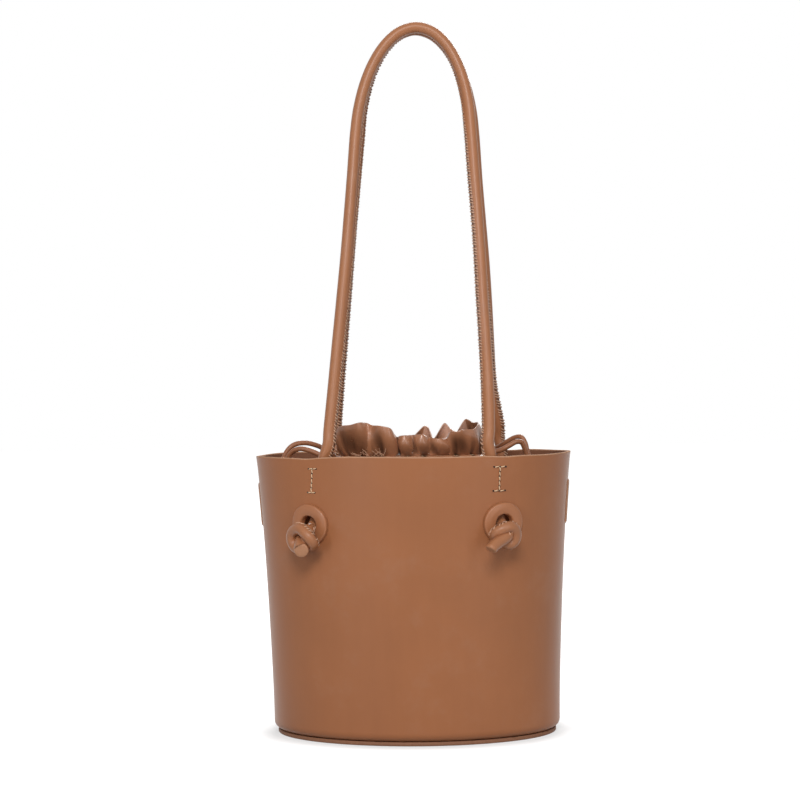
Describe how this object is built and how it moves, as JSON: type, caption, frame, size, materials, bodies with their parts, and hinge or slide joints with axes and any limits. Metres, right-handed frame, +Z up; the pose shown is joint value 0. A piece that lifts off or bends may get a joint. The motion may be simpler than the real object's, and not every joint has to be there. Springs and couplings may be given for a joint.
{
  "type": "bucket bag",
  "caption": "Oval leather bucket bag with rolled handles knotted through leather rings and a gathered drawstring pouch inside.",
  "frame": {"origin": "middle of the sole's underside, on the floor", "axes": "+Z up, +X to the right seen from the front, -Y towards the front"},
  "size_m": [0.2254, 0.1708, 0.5034],
  "materials": {
    "bucket_leather": "smooth satin, pale cut edges",
    "sole_leather": "matt",
    "cord_leather": "smooth satin, stitched seam",
    "string_leather": "smooth satin",
    "pouch_satin": "glossy satin weave",
    "lining": "matt weave",
    "base_board": "matt board"
  },
  "bodies": {
    "shell": {"bucket_wall": "bucket_leather", "base_sole": "sole_leather", "base_board": "base_board", "base_lining": "lining", "front_left_ring": "cord_leather", "front_left_knotted_end": "cord_leather", "front_left_keeper": "bucket_leather", "front_left_bend": "cord_leather", "front_right_ring": "cord_leather", "front_right_knotted_end": "cord_leather", "front_right_keeper": "bucket_leather", "front_right_bend": "cord_leather", "rear_left_ring": "cord_leather", "rear_left_knotted_end": "cord_leather", "rear_left_keeper": "bucket_leather", "rear_left_bend": "cord_leather", "rear_right_ring": "cord_leather", "rear_right_knotted_end": "cord_leather", "rear_right_keeper": "bucket_leather", "rear_right_bend": "cord_leather", "pouch_bag": "pouch_satin", "pouch_casing": "pouch_satin", "pouch_ruffle": "pouch_satin", "left_side_strap": "bucket_leather", "left_drawstring": "string_leather", "right_side_strap": "bucket_leather", "right_drawstring": "string_leather"},
    "front_handle": {"front_handle": "cord_leather"},
    "rear_handle": {"rear_handle": "cord_leather"},
    "left_strings": {"left_front_strand": "string_leather", "left_rear_strand": "string_leather", "left_end_knot": "string_leather"},
    "right_strings": {"right_front_strand": "string_leather", "right_rear_strand": "string_leather", "right_end_knot": "string_leather"}
  },
  "joints": [
    {"name": "front_handle_swing", "type": "hinge", "parent": "shell", "child": "front_handle", "pos_m": [0, -0.05497, 0.214], "axis": [1, 0, 0], "range_deg": [0, 140], "deforming": ["front_left_bend", "front_right_bend"]},
    {"name": "rear_handle_swing", "type": "hinge", "parent": "shell", "child": "rear_handle", "pos_m": [0, 0.05332, 0.214], "axis": [-1, 0, 0], "range_deg": [0, 140], "deforming": ["rear_left_bend", "rear_right_bend"]},
    {"name": "left_strings_pull", "type": "slide", "parent": "shell", "child": "left_strings", "axis": [0, 0, 1], "range_m": [0, 0.06], "deforming": ["left_front_strand", "left_rear_strand"]},
    {"name": "right_strings_pull", "type": "slide", "parent": "shell", "child": "right_strings", "axis": [0, 0, 1], "range_m": [0, 0.06], "deforming": ["right_front_strand", "right_rear_strand"]}
  ]
}
